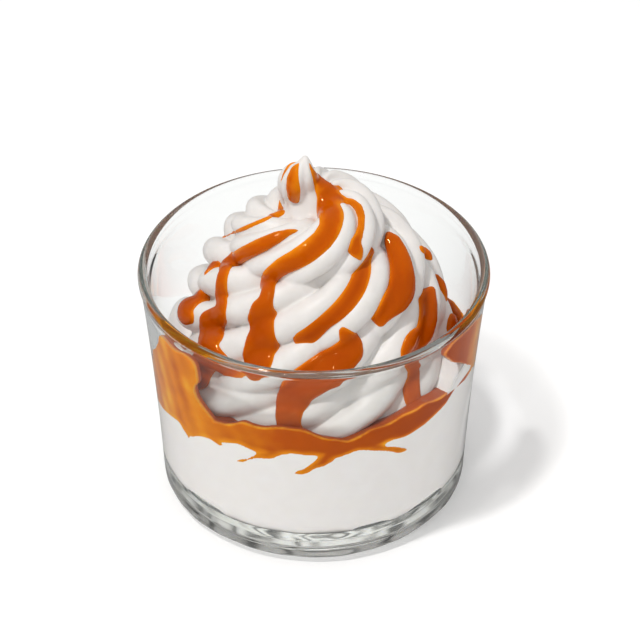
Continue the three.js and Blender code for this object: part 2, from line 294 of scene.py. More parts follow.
def clear_glass():
    """Clear glass that lets the light through to the food and the table."""
    material, sheet, surface = new_material("clear_glass")
    surface.inputs["Base Color"].default_value = (0.975, 0.99, 0.985, 1)
    surface.inputs["Roughness"].default_value = 0.0
    surface.inputs["IOR"].default_value = GLASS_IOR
    surface.inputs["Specular Tint"].default_value = (0.42, 0.43, 0.42, 1)
    surface.inputs["Transmission Weight"].default_value = 1.0
    surface.inputs["Metallic"].default_value = 0.0
    path = sheet.node("ShaderNodeLightPath").outputs
    passing = sheet.math("MAXIMUM", path["Is Shadow Ray"], path["Is Diffuse Ray"])
    grazing = sheet.node("ShaderNodeLayerWeight", {"Blend": 0.5}).outputs["Facing"]
    clearness = sheet.ramp(
        sheet.math("MULTIPLY", grazing, path["Is Shadow Ray"]),
        [(0.0, (1, 1, 1)), (0.3, (0.97, 0.97, 0.97)), (0.6, (0.68, 0.68, 0.68)), (1.0, (0.3, 0.3, 0.3))],
    )
    through = sheet.node("ShaderNodeBsdfTransparent", {"Color": clearness})
    mixed = sheet.node("ShaderNodeMixShader", {0: passing, 1: surface.outputs[0], 2: through.outputs[0]})
    output = sheet.tree.nodes["Material Output"]
    sheet.put(output.inputs["Surface"], mixed.outputs[0])
    body = sheet.node("ShaderNodeVolumeAbsorption", {"Color": GLASS_BODY, "Density": GLASS_DENSITY})
    sheet.put(output.inputs["Volume"], body.outputs[0])
    return material


def gloss_off_the_glass(sheet, level):
    """A food's specular level, with no sheen of its own where it lies against the glass."""
    against = sheet.node("ShaderNodeAttribute", attribute_name="against_glass").outputs["Fac"]
    return sheet.math("MULTIPLY_ADD", against, -level, level)


def soft_serve(name, palest, darkest):
    """Soft serve; a piece's own shade attribute holds painted shade, which darkens it where it turns
    away under the glass.
    """
    material, sheet, surface = new_material(name)
    uneven = place_unevenness(sheet, 260.0, 0.12)
    tint = sheet.ramp(uneven.outputs["Mask"], [(0.3, darkest), (0.7, palest)])
    # Painted shade stored on the piece darkens its colour.
    shade = sheet.node("ShaderNodeAttribute", attribute_name="shade").outputs["Fac"]
    lightness = sheet.math("SUBTRACT", 1.0, shade)
    looks = {
        "Base Color": sheet.vector("SCALE", tint, lightness),
        "Normal": uneven.outputs["Normal"],
        "Roughness": 0.42,
        "Specular IOR Level": gloss_off_the_glass(sheet, 0.35),
        "Subsurface Weight": 0.2,
        "Subsurface Radius": (1.0, 0.85, 0.65),
        "Subsurface Scale": 0.0009,
    }
    sheet.fill(surface, looks)
    return material


# Caramel seen by light that the glass has mirrored more often than this is greyed, as the rim
# would glow orange: the number of reflections, how far it is greyed, and the grey.
GUIDED_ABOVE = 4.5
GUIDED_SHARE = 0.7
GUIDED_GREY = (0.33, 0.31, 0.28, 1)
CARAMEL_BY_DEPTH = [
    (0.0, (0.95, 0.43, 0.02)),
    (0.2, (0.83, 0.25, 0.004)),
    (0.5, (0.54, 0.092, 0.0007)),
    (1.0, (0.38, 0.052, 0.0005)),
]


def caramel_sauce():
    """Golden where the sauce is thin, deep orange brown where it is thick."""
    material, sheet, surface = new_material("caramel_sauce")
    depth = sheet.node("ShaderNodeAttribute", attribute_name="depth").outputs["Fac"]
    uneven = place_unevenness(sheet, 130.0, 0.6)
    patchy = sheet.math("MULTIPLY_ADD", uneven.outputs["Mask"], 0.5, -0.25)
    colour = sheet.ramp(sheet.math("ADD", depth, patchy), CARAMEL_BY_DEPTH)
    bounced = sheet.node("ShaderNodeLightPath").outputs["Glossy Depth"]
    guided = sheet.math("MULTIPLY", sheet.math("GREATER_THAN", bounced, GUIDED_ABOVE), GUIDED_SHARE)
    mix_inputs = {"Factor": guided, 6: colour, 7: GUIDED_GREY}
    faded = sheet.node("ShaderNodeMix", mix_inputs, data_type="RGBA")
    looks = {
        "Base Color": faded.outputs[2],
        "Normal": uneven.outputs["Normal"],
        "Roughness": 0.07,
        "Specular IOR Level": gloss_off_the_glass(sheet, 0.3),
        "Specular Tint": (1.0, 0.62, 0.3, 1),
        "Subsurface Weight": 0.12,
        "Subsurface Radius": (1.0, 0.35, 0.05),
        "Subsurface Scale": 0.002,
    }
    sheet.fill(surface, looks)
    return material


CLEAR_GLASS = clear_glass()
SOFT_SERVE = soft_serve("soft_serve", (0.80, 0.77, 0.745), (0.74, 0.71, 0.68))
# The cream in the glass is the same soft serve painted brighter, to make up for the light that the glass
# keeps from it.
CREAM_PAINTED_BRIGHTER = soft_serve("cream_in_glass", (0.985, 0.94, 0.918), (0.96, 0.91, 0.885))
CARAMEL = caramel_sauce()


# ---------------------------------------------------------------- glass


PUNT_DEPTH = 0.9
# Rings of the hollow under the glass: radius, and height as a share of the hollow's depth.
PUNT_RINGS = (
    (10.0, 1.0), (20.0, 1.0), (22.5, 0.8), (24.5, 1.15), (26.5, 0.75), (27.8, 1.05), (28.6, 0.6),
)
# The ring that the glass stands on and the one just inside it: radius and height.
FOOT_RINGS = ((29.4, 0.12), (30.6, 0.0))
# Waves round the glass that leave its heel and inner corner uneven: size, waves a turn, start.
HEEL_WAVES = ((0.16, 5, 1), (0.10, 13, 0), (0.06, 29, 2))
CORNER_WAVES = ((0.22, 4, 2), (0.16, 11, 1))
HEEL_STEPS = 16
CORNER_STEPS = 12
LIP_STEPS = 22
GLASS_COLUMNS = 240


def waves(angle, parts):
    return sum(size * math.sin(count * angle + start) for size, count, start in parts)


def tumbler():
    """The glass: a rounded lip, a thick bottom with a shallow hollow under it, slightly uneven."""
    lip_height = GLASS_HEIGHT - LIP_RADIUS
    neck = GLASS_HEIGHT - 2.4 * LIP_RADIUS
    heights = np.linspace(HEEL_CURVE, neck, 26)[1:]
    outer = [(float(wall_radius(z)), float(z)) for z in heights]
    floor_edge = FLOOR + FLOOR_CURVE
    inner = [(float(wall_radius(z)) - WALL, float(z)) for z in heights[::-1] if z > floor_edge + 1]
    inner_corner = float(wall_radius(floor_edge)) - WALL - FLOOR_CURVE

    def meridian(azimuth):
        angle = math.radians(azimuth)
        swell = waves(angle, HEEL_WAVES)
        dip = waves(angle, CORNER_WAVES)
        heel_arc = arc(HEEL_RADIUS - HEEL_CURVE, HEEL_CURVE, HEEL_CURVE, -90, 0, HEEL_STEPS)
        heel = [
            (radius + swell * 0.8 * math.sin(math.pi * k / HEEL_STEPS), height)
            for k, (radius, height) in enumerate(heel_arc)
        ]
        corner_arc = arc(inner_corner, floor_edge, FLOOR_CURVE, 0, -90, CORNER_STEPS)
        corner = [
            (radius, height + dip * math.sin(math.pi * k / CORNER_STEPS))
            for k, (radius, height) in enumerate(corner_arc)
        ]
        punt = [(radius, PUNT_DEPTH * share) for radius, share in PUNT_RINGS]
        lip = arc(RIM_RADIUS - LIP_RADIUS, lip_height, LIP_RADIUS, -25, 205, LIP_STEPS)
        floor_rings = [(radius, FLOOR) for radius in (26.0, 18.0, 10.0, 0.0)]
        return [
            (0.0, PUNT_DEPTH), *punt, *FOOT_RINGS, *heel, *outer, *lip, *inner, *corner, *floor_rings,
        ]

    made = turned("tumbler", meridian, GLASS_COLUMNS, CLEAR_GLASS)
    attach(made, "root")
    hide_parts("glass")
    return made


tumbler()


# ---------------------------------------------------------------- swirl: the rope of soft serve

SPINE_STEPS = 700
ROPE_COLUMNS = 144
CREST_SHARPNESS = 0.7
ROPE_UNEVENNESS = 0.12


def spine():
    """Middle points of the rope and, at each, the way out and up, its thickness and its twist."""
    turn = np.linspace(COIL[0, 0], COIL[-1, 0], SPINE_STEPS)
    angle = 2 * math.pi * turn
    radial = np.stack([np.sin(angle), -np.cos(angle), 0 * angle], -1)
    shift = np.stack([along_coil(turn, SHIFT), 0 * turn, along_coil(turn, HEIGHT)], -1)
    middle = radial * along_coil(turn, REACH)[:, None] + shift
    along = np.gradient(middle, axis=0)
    along /= np.linalg.norm(along, axis=1, keepdims=True)
    out = radial - along * np.sum(radial * along, 1, keepdims=True)
    out /= np.linalg.norm(out, axis=1, keepdims=True)
    up = np.cross(out, along)
    thick = along_coil(turn, THICK)
    thick[0] = thick[-1] = 0.0
    return {
        "middle": middle,
        "out": out,
        "up": up,
        "thick": thick,
        "twist": 2 * math.pi * along_coil(turn, TWIST),
    }


def rope_tree():
    """Geometry Nodes: sweeps a star with round points along the spine."""
    tree = bpy.data.node_groups.new("soft_serve_rope", "GeometryNodeTree")
    given_sockets = {
        "Spine": "Geometry",
        "Columns": "Int",
        "Ridges": "Int",
        "Groove Depth": "Float",
        "Crest Sharpness": "Float",
        "Unevenness": "Float",
        "Material": "Material",
    }
    for name, kind in given_sockets.items():
        tree.interface.new_socket(name, in_out="INPUT", socket_type=f"NodeSocket{kind}")
    tree.interface.new_socket("Rope", in_out="OUTPUT", socket_type="NodeSocketGeometry")
    sheet = Sheet(tree)
    given = sheet.node("NodeGroupInput").outputs
    rows = sheet.node("GeometryNodeAttributeDomainSize", {"Geometry": given["Spine"]})
    across = sheet.whole("ADD", given["Columns"], 1)
    grid_inputs = {"Vertices X": rows.outputs["Point Count"], "Vertices Y": across}
    grid = sheet.node("GeometryNodeMeshGrid", grid_inputs)
    index = sheet.node("GeometryNodeInputIndex").outputs[0]
    row = sheet.whole("DIVIDE_FLOOR", index, across)
    column = sheet.whole("MODULO", index, across)

    def sampled(name, kind):
        field = sheet.node("GeometryNodeInputNamedAttribute", {"Name": name}, data_type=kind)
        pick = sheet.node("GeometryNodeSampleIndex", {"Geometry": given["Spine"]}, data_type=kind)
        sheet.put(pick.inputs["Value"], field.outputs["Attribute"])
        sheet.put(pick.inputs["Index"], row)
        return pick.outputs["Value"]

    theta = sheet.math("DIVIDE", sheet.math("MULTIPLY", column, 2 * math.pi), given["Columns"])
    half_theta = sheet.math("MULTIPLY", theta, 0.5)
    wave = sheet.math("COSINE", sheet.math("MULTIPLY", half_theta, given["Ridges"]))
    crest = sheet.math("POWER", sheet.math("ABSOLUTE", wave), given["Crest Sharpness"])
    groove = sheet.math("MULTIPLY", sheet.math("SUBTRACT", 1.0, crest), given["Groove Depth"])
    star = sheet.math("SUBTRACT", 1.0, groove)
    radius = sheet.math("MULTIPLY", sampled("thick", "FLOAT"), star)
    round_angle = sheet.math("ADD", theta, sampled("twist", "FLOAT"))
    out = sheet.vector("SCALE", sampled("out", "FLOAT_VECTOR"), sheet.math("COSINE", round_angle))
    up = sheet.vector("SCALE", sampled("up", "FLOAT_VECTOR"), sheet.math("SINE", round_angle))
    ray = sheet.vector("ADD", out, up)
    middle = sampled("middle", "FLOAT_VECTOR")
    smooth_place = sheet.vector("ADD", middle, sheet.vector("SCALE", ray, radius))
    noise_inputs = {"Vector": smooth_place, "W": 7.0, "Scale": 110.0, "Detail": 1.5}
    noise = sheet.node("ShaderNodeTexNoise", noise_inputs, noise_dimensions="4D").outputs["Fac"]
    swell = sheet.math("MULTIPLY", sheet.math("SUBTRACT", noise, 0.5), given["Unevenness"])
    swollen = sheet.math("MULTIPLY", radius, sheet.math("ADD", swell, 1.0))
    place = sheet.vector("ADD", middle, sheet.vector("SCALE", ray, swollen))
    shaped = sheet.node("GeometryNodeSetPosition", {"Geometry": grid.outputs["Mesh"], "Position": place})
    merge_inputs = {"Geometry": shaped.outputs[0], "Distance": 0.00001}
    merged = sheet.node("GeometryNodeMergeByDistance", merge_inputs)
    real = sheet.node("GeometryNodeRealizeInstances", {"Geometry": merged.outputs[0]})
    finish_inputs = {"Geometry": real.outputs[0], "Material": given["Material"]}
    finished = sheet.node("GeometryNodeSetMaterial", finish_inputs)
    result = sheet.node("NodeGroupOutput")
    sheet.put(result.inputs["Rope"], finished.outputs[0])
    return tree


def rope_mesh(groove_depth, size):
    """The swept rope, still crossing itself where the turns rest on each other, in millimetres."""
    values = spine()
    values["thick"] = values["thick"] * size
    line = bpy.data.meshes.new("rope_spine")
    line.from_pydata((values["middle"] * MM).tolist(), [], [])
    for name, kind, scale in (
        ("middle", "FLOAT_VECTOR", MM),
        ("out", "FLOAT_VECTOR", 1),
        ("up", "FLOAT_VECTOR", 1),
        ("thick", "FLOAT", MM),
        ("twist", "FLOAT", 1),
    ):
        field = line.attributes.new(name, kind, "POINT")
        key = "vector" if kind == "FLOAT_VECTOR" else "value"
        field.data.foreach_set(key, (values[name] * scale).astype(np.float32).ravel())
    holder = bpy.data.objects.new("rope_spine", line)
    bpy.context.scene.collection.objects.link(holder)
    tree = rope_tree()
    sweep = holder.modifiers.new("sweep", "NODES")
    sweep.node_group = tree
    wanted = {
        "Columns": ROPE_COLUMNS,
        "Ridges": RIDGES,
        "Groove Depth": groove_depth,
        "Crest Sharpness": CREST_SHARPNESS,
        "Unevenness": ROPE_UNEVENNESS,
        "Material": SOFT_SERVE,
    }
    for socket in tree.interface.items_tree:
        if socket.in_out == "INPUT" and socket.name in wanted:
            sweep[socket.identifier] = wanted[socket.name]
    seen = holder.evaluated_get(bpy.context.evaluated_depsgraph_get())
    made = bpy.data.meshes.new_from_object(seen)
    points = np.empty(len(made.vertices) * 3, np.float32)
    made.vertices.foreach_get("co", points)
    made.calc_loop_triangles()
    corners = np.empty(len(made.loop_triangles) * 3, np.int32)
    made.loop_triangles.foreach_get("vertices", corners)
    holder.modifiers.remove(sweep)
    bpy.data.objects.remove(holder)
    return points.reshape(-1, 3) / MM, corners.reshape(-1, 3)


# ---------------------------------------------------------------- fields on a fine lattice

CELL = 0.36
LATTICE_LOW = np.array([-40.0, -40.0, 18.0])
LATTICE_HIGH = np.array([40.0, 40.0, 95.0])
LATTICE_START = np.floor(LATTICE_LOW / CELL).astype(int)
LATTICE_SHAPE = tuple(np.ceil((LATTICE_HIGH - LATTICE_LOW) / CELL).astype(int))
OUTER_BAND = 12
INNER_BAND = 5


def lattice_axes():
    return [(LATTICE_START[i] + np.arange(LATTICE_SHAPE[i])).astype(np.float32) * CELL for i in range(3)]


def distance_field(points, triangles):
    """Signed distance to a closed mesh, negative inside, near its surface."""
    grid = openvdb.FloatGrid.createLevelSetFromPolygons(
        points.astype(np.float32),
        triangles=triangles.astype(np.uint32),
        transform=openvdb.createLinearTransform(voxelSize=CELL),
        exBandWidth=float(OUTER_BAND),
        inBandWidth=float(INNER_BAND),
    )
    field = np.zeros(LATTICE_SHAPE, np.float32)
    grid.copyToArray(field, ijk=tuple(int(i) for i in LATTICE_START))
    return field


def blurred(field, width):
    """Gaussian blur, width in millimetres."""
    reach = max(1, int(math.ceil(2.5 * width / CELL)))
    offsets = np.arange(-reach, reach + 1)
    weights = np.exp(-0.5 * (offsets * CELL / width) ** 2).astype(np.float32)
    weights /= weights.sum()
    for axis in range(3):
        padding = [(0, 0)] * 3
        padding[axis] = (reach, reach)
        padded = np.pad(field, padding, mode="edge")
        moved = np.moveaxis(padded, axis, 0)
        count = field.shape[axis]
        total = sum(weight * moved[i : i + count] for i, weight in enumerate(weights))
        field = np.moveaxis(total, 0, axis)
    return np.ascontiguousarray(field)


def skin_of(field):
    """Points and faces of the surface where a field is zero."""
    grid = openvdb.FloatGrid(background=float(OUTER_BAND * CELL))
    grid.copyFromArray(field, ijk=tuple(int(i) for i in LATTICE_START))
    grid.transform = openvdb.createLinearTransform(voxelSize=CELL)
    points, triangles, quads = grid.convertToPolygons(isovalue=0.0, adaptivity=0.0)
    return points, [*triangles[:, ::-1].tolist(), *quads[:, ::-1].tolist()]


def sampled_at(field, points):
    """A field's value at points, read between the lattice's cells."""
    place = np.clip(points / CELL - LATTICE_START, 0, np.array(LATTICE_SHAPE) - 1.001)
    base = place.astype(int)
    part = place - base
    total = np.zeros(len(points))
    for corner in np.ndindex(2, 2, 2):
        weight = np.prod([part[:, i] if corner[i] else 1 - part[:, i] for i in range(3)], axis=0)
        total += weight * field[tuple((base + corner).T)]
    return total


# ---------------------------------------------------------------- caramel in the glass, at the wall

# Where the pool's surface meets the wall at the front, as the photo shows it.
MENISCUS_PX = [
    (166, 372), (172, 390), (185, 410), (200, 420), (220, 424), (240, 423), (262, 428), (285, 428),
    (302, 432), (320, 438), (345, 443), (362, 435), (400, 418), (425, 405), (451, 391),
]
# Lower edge of the caramel at the wall, between its runs.
LOWER_EDGE_PX = [
    (154, 391), (162, 407), (178, 421), (190, 436), (203, 437), (222, 443), (240, 444), (254, 452),
    (272, 457), (290, 454), (311, 455), (330, 460), (342, 457), (357, 451), (376, 449), (391, 441),
    (406, 437), (420, 428), (430, 420), (441, 409), (449, 399), (453, 391),
]
# Runs of caramel on the wall: (x, y, half width) in pixels.
WALL_RUNS_PX = [
    [(183, 426, 6), (187, 434, 3.5), (189, 441, 1)],
    [(214, 438, 5), (219, 443, 3), (224, 446, 0.8)],
    [(280, 450, 8), (262, 455, 5.5), (248, 459, 2.6), (232, 461, 0.8)],
    [(330, 452, 10), (321, 463, 7), (306, 470, 4.2), (292, 474, 2), (277, 477, 0.8)],
    [(368, 444, 7), (384, 448, 5), (400, 450, 3.6), (415, 448, 0.8)],
    [(422, 420, 4), (432, 414, 2), (441, 410, 0.7)],
]
# The rest of the way round, which the photo hides: azimuth, meniscus, lower edge.
HIDDEN_WALL = [
    (95, 40.5, 36.0), (108, 40.0, 33.5), (122, 38.6, 31.0), (150, 38.8, 33.5), (180, 38.0, 30.2),
    (205, 38.4, 33.0), (225, 36.5, 29.5), (240, 34.0, 30.0), (255, 34.0, 29.0), (266, 36.0, 30.0),
]
# Sauce that clings to the front of the wall above the pool, as outlines in pixels.
CLINGING_PX = {
    "left_film": [
        (158, 333), (164, 339), (172, 347), (184, 355), (193, 361), (197, 372), (198, 381), (193, 388),
        (196, 398), (204, 410), (214, 424), (200, 430), (185, 425), (170, 409), (158, 398), (153, 380),
        (150, 366), (153, 358), (152, 350), (156, 346),
    ],
    "right_film": [
        (484, 309), (478, 316), (466, 330), (452, 345), (441, 354), (443, 358), (452, 360), (460, 364),
        (467, 366), (471, 369), (474, 366), (477, 356), (480, 335),
    ],
}
AZIMUTH_STEP = 0.5
HEIGHT_STEP = 0.2
WALL_AZIMUTHS = np.arange(-180.0, 180.0, AZIMUTH_STEP)
WALL_HEIGHTS = np.arange(18.0, 60.0, HEIGHT_STEP)
MEAN_INNER = 37.0
FILM = 1.5
# Middle heights of the pool's top and bottom, and the radii between which they turn to the wall's.
POOL_TOP = 37.4
POOL_BOTTOM = 33.0
TOP_TURNS = (30.0, 36.6)
BOTTOM_TURNS = (31.0, 36.0)
# Where the pool stands higher at the right, off the wall, and lower at the left: azimuth, spread
# in degrees, height.
RIGHT_MOUND = (47.0, 19.0, 2.6)
MOUND_STARTS = (22.0, 28.0)
MOUND_ENDS = (33.5, 36.4)
LEFT_DIP = (-112.0, 24.0, 4.0)
DIP_STARTS = (20.0, 30.0)
# Colour depth of the caramel at the wall, by azimuth: golden at the front left, brown at the right.
POOL_SHADES = (
    (-180, -110, -75, -45, 0, 45, 60, 72, 90, 125, 180),
    (0.55, 0.45, 0.16, 0.19, 0.55, 0.80, 0.80, 0.12, 0.12, 0.55, 0.55),
)
# Where the white base rises behind the caramel at the wall: azimuth, spread in degrees, height.
WHITE_MOUNDS = ((72.0, 13.0, 6.5), (-112.0, 19.0, 7.5))
IN_GLASS = 0.16  # how far the food reaches into the wall, so that no gap shows
FIELD_LIMIT = 2.0


def round_the_wall(spots, hidden):
    """A height for each azimuth, from spots in the photo and hidden ones."""
    both = sorted([(azimuth % 360, height) for azimuth, height in [*spots, *hidden]])
    azimuth = [a for a, _ in both]
    height = [h for _, h in both]
    azimuth = [azimuth[-1] - 360, *azimuth, azimuth[0] + 360]
    height = [height[-1], *height, height[0]]
    read = np.interp(WALL_AZIMUTHS % 360, azimuth, height)
    kernel = np.exp(-0.5 * (np.arange(-6, 7) / 2.2) ** 2)
    padded = np.concatenate([read[-6:], read, read[:6]])
    return np.convolve(padded, kernel / kernel.sum(), "valid")


def wall_edges():
    """Heights of the caramel's meniscus and lower edge, all the way round."""
    hidden_top = [(azimuth, top) for azimuth, top, _ in HIDDEN_WALL]
    hidden_low = [(azimuth, low) for azimuth, _, low in HIDDEN_WALL]
    meniscus = round_the_wall([wall_spot(pixel) for pixel in MENISCUS_PX], hidden_top)
    lower = round_the_wall([wall_spot(pixel) for pixel in LOWER_EDGE_PX], hidden_low)
    return meniscus, lower


def add_run(field, run):
    """Adds one tapering run, a list of (azimuth, height, half width), to the wall's field."""
    steps = 12
    for (a0, h0, w0), (a1, h1, w1) in zip(run, run[1:]):
        for share in np.linspace(0, 1, steps):
            azimuth = a0 + (a1 - a0) * share
            height = h0 + (h1 - h0) * share
            half = w0 + (w1 - w0) * share
            away = (WALL_AZIMUTHS - azimuth + 180) % 360 - 180
            sideways = np.radians(away)[:, None] * MEAN_INNER
            upright = (WALL_HEIGHTS - height)[None, :]
            np.minimum(field, np.hypot(sideways, upright) - half, out=field)


def outline_distance(outline):
    """Distance to a closed outline of (azimuth, height) over the unrolled wall, negative inside."""
    across = np.radians(WALL_AZIMUTHS)[:, None] * MEAN_INNER
    upright = WALL_HEIGHTS[None, :]
    nearest = np.full((len(WALL_AZIMUTHS), len(WALL_HEIGHTS)), 1e3)
    inside = np.zeros(nearest.shape, bool)
    corners = [(math.radians(azimuth) * MEAN_INNER, height) for azimuth, height in outline]
    for (x0, z0), (x1, z1) in zip(corners, [*corners[1:], corners[0]]):
        length = max((x1 - x0) ** 2 + (z1 - z0) ** 2, 1e-9)
        share = np.clip(((across - x0) * (x1 - x0) + (upright - z0) * (z1 - z0)) / length, 0, 1)
        gap = np.hypot(across - x0 - share * (x1 - x0), upright - z0 - share * (z1 - z0))
        np.minimum(nearest, gap, out=nearest)
        if z0 != z1:
            crossed = (z0 > upright) != (z1 > upright)
            inside ^= crossed & (across < x0 + (upright - z0) / (z1 - z0) * (x1 - x0))
    return np.where(inside, -nearest, nearest)


def softened(field):
    """Rounds the corners of an outline on the unrolled wall."""
    weights = np.exp(-0.5 * (np.arange(-8, 9) / 3.5) ** 2)
    weights /= weights.sum()
    count, rows = field.shape
    around = np.concatenate([field[-8:], field, field[:8]])
    around = sum(weight * around[i : i + count] for i, weight in enumerate(weights))
    upright = np.pad(around, ((0, 0), (8, 8)), mode="edge")
    return sum(weight * upright[:, i : i + rows] for i, weight in enumerate(weights))


def wall_field(meniscus, lower):
    """Distance from the caramel's outline on the unrolled wall, negative inside it."""
    heights = WALL_HEIGHTS[None, :]
    field = np.maximum(lower[:, None] - heights, heights - meniscus[:, None])
    pixel = VIEW_DISTANCE / FOCAL_PX
    for run in WALL_RUNS_PX:
        add_run(field, [(*wall_spot((x, y)), half * pixel) for x, y, half in run])
    for outline in CLINGING_PX.values():
        np.minimum(field, softened(outline_distance([wall_spot(p) for p in outline])), out=field)
    ripple = 0.22 * np.sin(np.radians(WALL_AZIMUTHS) * 31)[:, None]
    ripple = ripple + 0.18 * np.sin(np.radians(WALL_AZIMUTHS)[:, None] * 17 + heights * 0.9)
    return field + ripple


def caramel_layer_field(meniscus, lower):
    """The pool between the base and the swirl, with its film and runs at the wall."""
    x, y, z = lattice_axes()
    radius = np.hypot(x[:, None], y[None, :])
    azimuth = np.degrees(np.arctan2(x[:, None], -y[None, :]))
    column = np.clip(((azimuth + 180) / AZIMUTH_STEP).astype(int), 0, len(WALL_AZIMUTHS) - 1)
    row = np.clip(((z - WALL_HEIGHTS[0]) / HEIGHT_STEP).astype(int), 0, len(WALL_HEIGHTS) - 1)
    outline = wall_field(meniscus, lower)
    on_wall = outline[column][:, :, row].astype(np.float32)
    inner = (wall_radius(z) - WALL).astype(np.float32)
    depth_in = inner[None, None, :] - radius[:, :, None]
    edge = meniscus[column]
    towards_wall = smoothstep(*TOP_TURNS, radius)
    top = POOL_TOP + (edge - POOL_TOP) * towards_wall**2
    away = (azimuth - RIGHT_MOUND[0]) / RIGHT_MOUND[1]
    off_wall = smoothstep(*MOUND_STARTS, radius) * (1 - smoothstep(*MOUND_ENDS, radius))
    top = top + RIGHT_MOUND[2] * np.exp(-(away**2)) * off_wall
    behind = ((azimuth - LEFT_DIP[0] + 180) % 360 - 180) / LEFT_DIP[1]
    top = top - LEFT_DIP[2] * np.exp(-(behind**2)) * smoothstep(*DIP_STARTS, radius)
    bottom = POOL_BOTTOM + (lower[column] - POOL_BOTTOM) * smoothstep(*BOTTOM_TURNS, radius)
    pool = np.maximum(z[None, None, :] - top[:, :, None], bottom[:, :, None] - z[None, None, :])
    film = np.maximum(on_wall, depth_in - FILM)
    field = np.maximum(np.minimum(pool, film), -depth_in - IN_GLASS)
    return field.astype(np.float32), on_wall


# ---------------------------------------------------------------- caramel streams on the swirl

# Streams as the photo shows them: (x, y, half width) in pixels, from top to bottom.
STREAMS_PX = {
    "peak_left_edge": [
        (303, 157, 1.5), (295, 160, 2.5), (288, 166, 3), (283, 174, 2), (280, 184, 1.5), (279, 196, 1.5),
        (280, 206, 2.5), (281, 213, 4),
    ],
    "left_thread": [
        (281, 213, 4.5), (270, 217, 4), (258, 222, 3.5), (244, 228, 3), (232, 233, 2), (221, 238, 1),
    ],
    "peak_drop": [(299, 163, 2), (295, 170, 6), (293, 180, 8), (293, 190, 8.5), (294, 197, 7)],
    "peak_right": [
        (308, 160, 2), (312, 172, 4.5), (317, 181, 8), (325, 190, 11.5), (330, 200, 13),
    ],
    "main_top": [(330, 200, 13), (331, 210, 14), (332, 220, 13.5)],
    "main_branch": [(330, 190, 7), (338, 196, 4), (342, 199, 2)],
    "main_sweep": [
        (332, 220, 13.5), (330, 230, 12.5), (322, 241, 12), (309, 251, 11.5), (296, 259, 10.5),
        (283, 266, 10), (271, 274, 9),
    ],
    "main_fall": [
        (271, 274, 9), (269, 284, 8.5), (267, 294, 8), (265, 302, 8.5), (262, 310, 12),
        (263, 320, 15.5), (262, 332, 15.5), (262, 345, 17), (260, 358, 18),
    ],
    "left_sweep": [
        (297, 230, 2), (288, 232, 4), (276, 237, 6.5), (262, 244, 7.5), (248, 251, 7.5), (236, 258, 8),
        (226, 267, 8),
    ],
    "left_fall": [
        (226, 267, 8), (222, 277, 8), (221, 287, 8), (221, 297, 7), (222, 307, 9), (219, 315, 11),
    ],
    "left_pond": [(219, 315, 11), (210, 323, 14), (210, 330, 13), (218, 338, 8)],
    "left_hidden_fall": [
        (208, 335, 13), (205, 350, 15), (204, 366, 14), (200, 380, 9), (196, 388, 6),
    ],
    "left_low_pond": [
        (206, 345, 12), (214, 356, 14), (226, 363, 10), (238, 368, 6), (246, 371, 2),
    ],
    "far_left_blob": [(206, 296, 6), (197, 301, 12), (187, 306, 16), (184, 312, 14), (190, 317, 8)],
    "left_nick": [(219, 264, 4), (212, 268, 6.5), (206, 273, 4)],
    "upper_right": [
        (343, 199, 2), (352, 201, 3.5), (359, 207, 4.5), (362, 216, 4), (362, 226, 3.5),
        (359, 236, 4.5), (353, 243, 8), (357, 251, 7.5), (361, 259, 3),
    ],
    "middle_sweep": [
        (370, 258, 6), (366, 264, 11), (362, 273, 12), (356, 283, 13), (346, 294, 13), (333, 305, 13),
        (320, 314, 13), (311, 325, 12), (306, 335, 9), (303, 344, 5),
    ],
    "right_sweep": [
        (389, 234, 4), (393, 241, 9), (398, 251, 10.5), (402, 261, 11.5), (404, 271, 13),
        (405, 281, 15.5), (405, 290, 17), (400, 298, 15), (388, 306, 13), (381, 315, 10), (381, 322, 6),
    ],
    "far_right_sweep": [
        (432, 290, 5), (428, 298, 10), (425, 306, 14), (423, 318, 16), (419, 330, 17), (413, 341, 14),
        (407, 351, 10.5), (410, 362, 9), (409, 375, 8.5), (410, 390, 8.5), (411, 397, 9.5),
    ],
    "low_sweep": [
        (343, 331, 5), (348, 338, 9), (352, 345, 11), (349, 352, 15), (341, 360, 16), (328, 368, 17),
        (313, 377, 17), (298, 386, 17), (292, 398, 16), (289, 410, 14), (289, 422, 12), (292, 432, 14),
    ],
    "right_drop": [(422, 249, 5), (427, 254, 6.5), (430, 258, 4)],
    "right_blob": [(437, 278, 5), (442, 285, 7), (445, 292, 6), (446, 299, 4)],
    "right_foot": [(449, 303, 7), (457, 311, 10), (454, 321, 9), (450, 330, 5)],
}
# Streams repeated on the sides that the photo hides, turned about the axis.
HIDDEN_STREAMS = {
    176: [
        "main_top", "main_sweep", "main_fall", "left_sweep", "left_fall", "left_pond", "middle_sweep",
        "right_sweep", "far_right_sweep", "low_sweep",
    ],
}
# Streams that run down over the ridges. The others lie in the grooves, below the ridges' crests.
OVER_RIDGES = set(STREAMS_PX) - {"middle_sweep", "main_branch"}
GROOVE_SPARE_PX = 3.0
STREAM_STEP_PX = 1.0
LONGEST_JUMP = 12.0
JUMP_STEP = 0.6
SHORTEST_RUN = 22
# Places round one on the swirl that its sauce may reach, and how much nearer the skin must hide it.
ROUND_A_SPOT = ((0, 0, 0), (3, 0, 0), (-3, 0, 0), (-5, 0, 2), (5, 0, 2), (0, 0, 3), (0, -2, -2))
HIDING_SPARE = 3.0
# How high a stream stands: at least, more a millimetre of half width, and how steeply it ends.
LEAST_CROWN = 0.4
CROWN_GROWTH = 0.22
STREAM_FLANK = 1.8
STREAM_SPARE = 2.6


def seen_in_photo(place, skin):
    """Whether a place on the swirl, or the sauce standing round it, shows in the photo."""
    eye, _ = sight(AIM_PX)
    for offset in ROUND_A_SPOT:
        aim = place + Vector(offset)
        hit = skin.ray_cast(eye, (aim - eye).normalized())[0]
        if hit is None or (hit - eye).length > (aim - eye).length - HIDING_SPARE:
            return True
    return False


